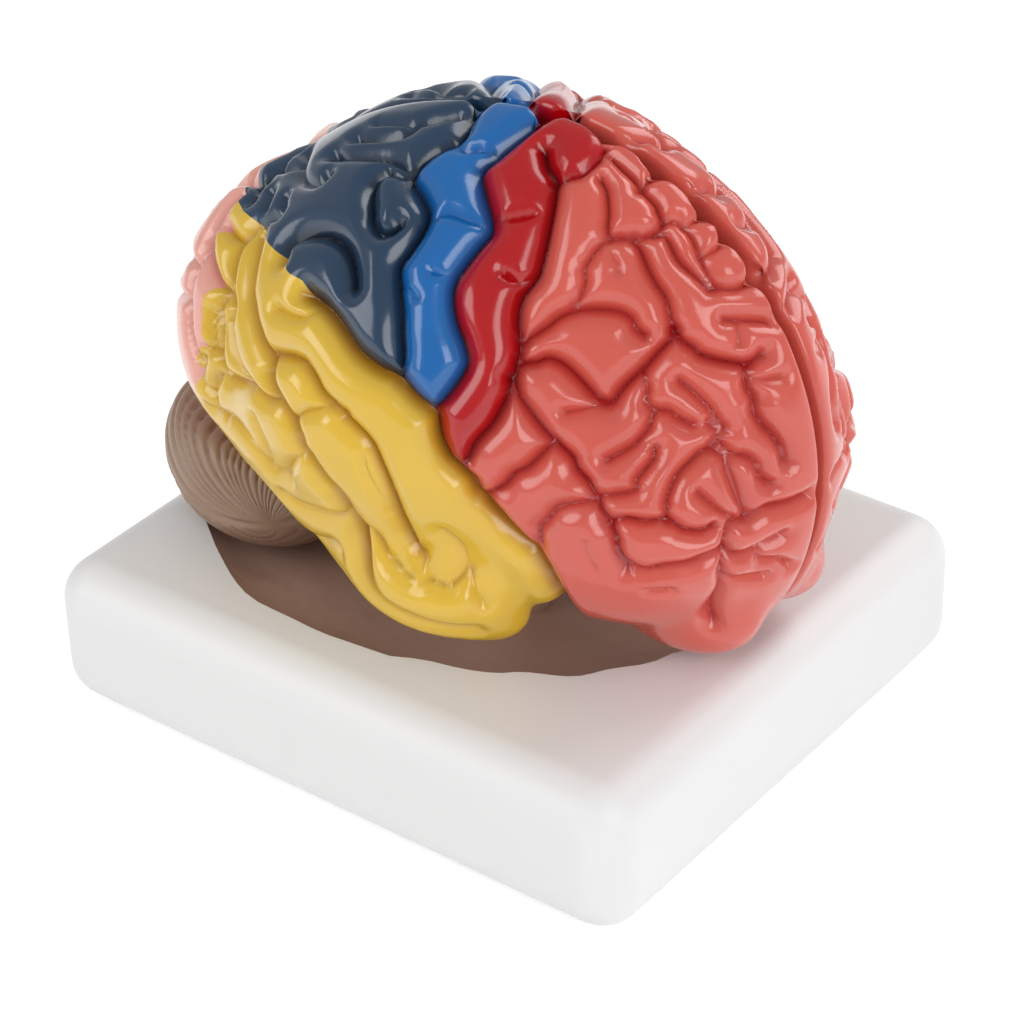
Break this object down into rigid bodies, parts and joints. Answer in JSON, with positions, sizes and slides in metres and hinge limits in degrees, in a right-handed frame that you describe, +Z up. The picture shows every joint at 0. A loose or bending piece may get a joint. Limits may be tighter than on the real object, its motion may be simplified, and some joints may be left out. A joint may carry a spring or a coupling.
{
  "type": "brain anatomy model",
  "caption": "Life-size human brain model in painted lobes, divided along the midline, with cerebellum and brain stem, resting in the nest of a rounded square stand.",
  "frame": {"origin": "middle of the stand's flat underside", "axes": "+Z up, +X towards the forehead along the stand's length, +Y towards the model's left half"},
  "size_m": [0.1715, 0.143, 0.1565],
  "materials": {
    "stand_white": "satin white moulding with soft edges",
    "nest_brown": "satin brown paint in the sunken nest",
    "frontal_coral": "glossy hand-laid paint",
    "precentral_red": "glossy hand-laid paint",
    "postcentral_blue": "glossy hand-laid paint",
    "parietal_navy": "glossy hand-laid paint",
    "temporal_yellow": "glossy hand-laid paint",
    "occipital_pink": "glossy hand-laid paint",
    "cerebellum_taupe": "matte moulded surface with fine leaves"
  },
  "bodies": {
    "root": {"stand": "stand_white", "right_hemisphere": "frontal_coral", "left_hemisphere": "frontal_coral", "cerebellum": "cerebellum_taupe", "brain_stem": "cerebellum_taupe"}
  },
  "joints": []
}
